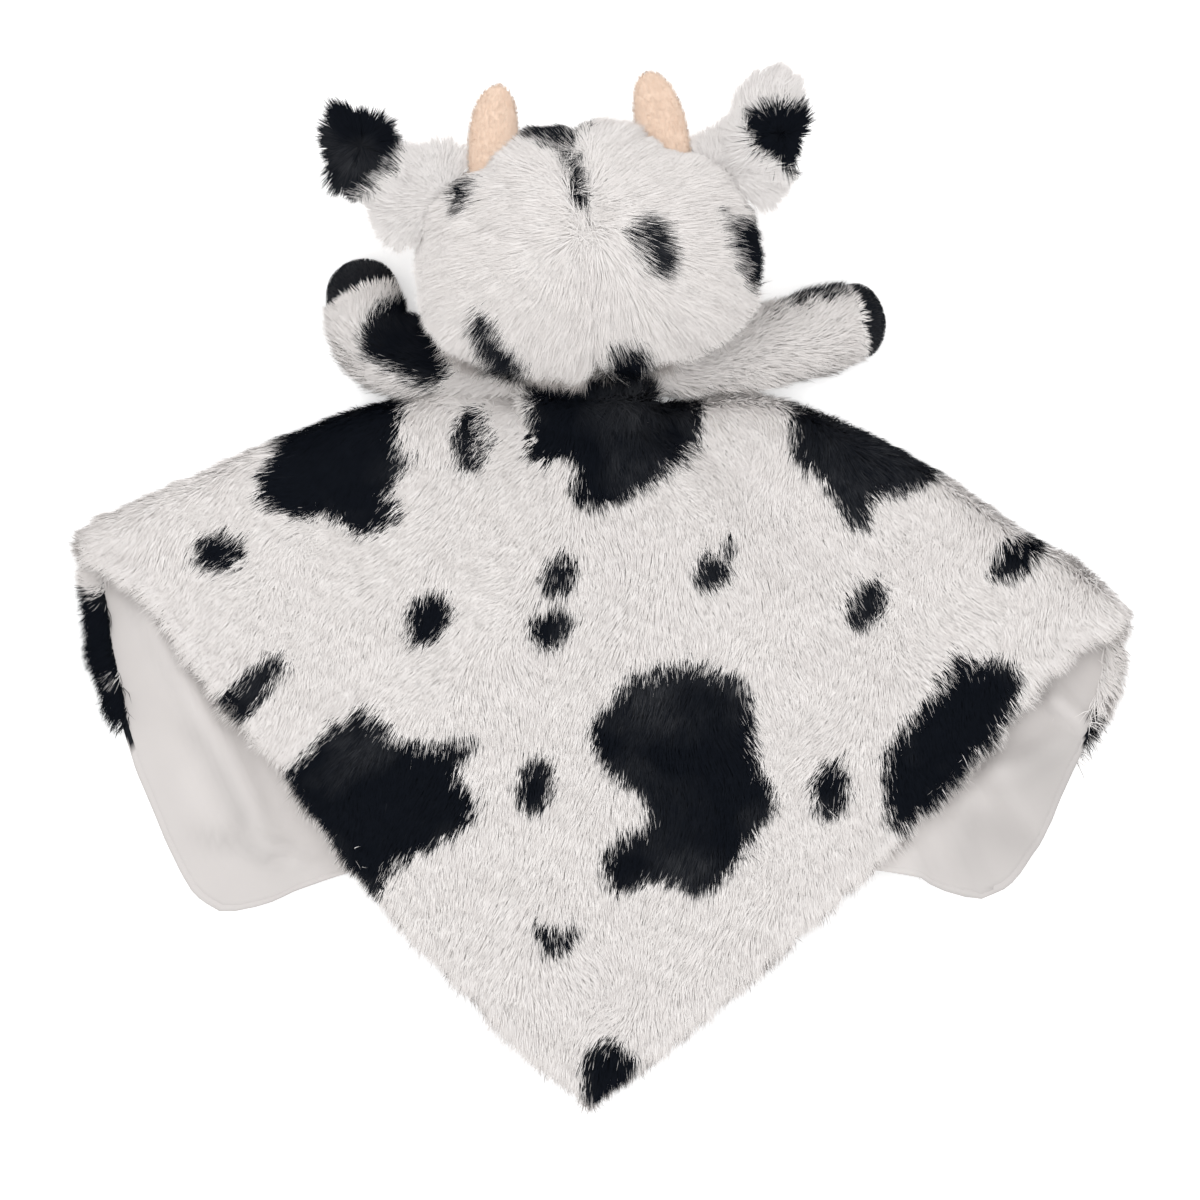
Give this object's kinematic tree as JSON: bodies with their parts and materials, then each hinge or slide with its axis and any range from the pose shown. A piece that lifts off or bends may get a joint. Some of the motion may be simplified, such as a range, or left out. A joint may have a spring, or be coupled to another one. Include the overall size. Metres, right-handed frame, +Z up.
{
  "type": "comfort blanket lovey",
  "caption": "Soft toy calf head with stuffed arms, horns and ears on a square plush comfort blanket, lying face down.",
  "frame": {"origin": "middle of the muzzle's flat foot, on the surface that the toy lies on", "axes": "+Z up from that surface, +Y from the blanket towards the top of the head, +X to the right of someone looking down on the back"},
  "size_m": [0.3509, 0.3568, 0.09],
  "materials": {
    "plush_white": "long-pile plush, white with black patches",
    "lining_white": "smooth short-pile lining, off-white",
    "velour_peach": "short-pile velour, peach",
    "velour_black": "short-pile velour, black",
    "thread_white": "sewing thread, off-white",
    "filling_white": "polyester fibre filling, white"
  },
  "bodies": {
    "blanket": {"blanket_plush": "plush_white", "blanket_lining": "lining_white"},
    "neck": {"neck_ball": "plush_white", "neck_thread": "thread_white"},
    "head": {"eye_left": "velour_black", "eye_right": "velour_black", "head_back_left": "plush_white", "head_back_right": "plush_white", "head_face_panel": "plush_white", "head_filling": "filling_white", "horn_left_cover": "velour_peach", "horn_left_filling": "filling_white", "horn_right_cover": "velour_peach", "horn_right_filling": "filling_white", "muzzle_cover": "velour_peach", "muzzle_filling": "filling_white", "nostril_left": "velour_black", "nostril_right": "velour_black"},
    "ear_left": {"ear_left_back": "plush_white", "ear_left_lining": "velour_peach"},
    "ear_right": {"ear_right_back": "plush_white", "ear_right_lining": "velour_peach"},
    "arm_left": {"arm_left_cover": "plush_white", "arm_left_filling": "filling_white", "hoof_left": "velour_black"},
    "arm_right": {"arm_right_cover": "plush_white", "arm_right_filling": "filling_white", "hoof_right": "velour_black"}
  },
  "joints": [
    {"name": "neck_turn", "type": "hinge", "parent": "blanket", "child": "neck", "pos_m": [0, -0.0295, 0.03], "axis": [0, 0, 1], "range_deg": [-12, 12]},
    {"name": "head_lift", "type": "hinge", "parent": "neck", "child": "head", "pos_m": [0, -0.0295, 0.03], "axis": [1, 0, 0], "range_deg": [0, 25]},
    {"name": "ear_left_flop", "type": "hinge", "parent": "head", "child": "ear_left", "pos_m": [-0.04904, 0.02287, 0.057], "axis": [0.5388, 0.8425, 0], "range_deg": [0, 45]},
    {"name": "ear_right_flop", "type": "hinge", "parent": "head", "child": "ear_right", "pos_m": [0.04562, 0.03098, 0.057], "axis": [0.6743, -0.7385, 0], "range_deg": [0, 45]},
    {"name": "arm_left_swing", "type": "hinge", "parent": "blanket", "child": "arm_left", "pos_m": [-0.012, -0.0325, 0.017], "axis": [0, 0, -1], "range_deg": [0, 20]},
    {"name": "arm_right_swing", "type": "hinge", "parent": "blanket", "child": "arm_right", "pos_m": [0.012, -0.0325, 0.017], "axis": [0, 0, 1], "range_deg": [0, 20]}
  ]
}
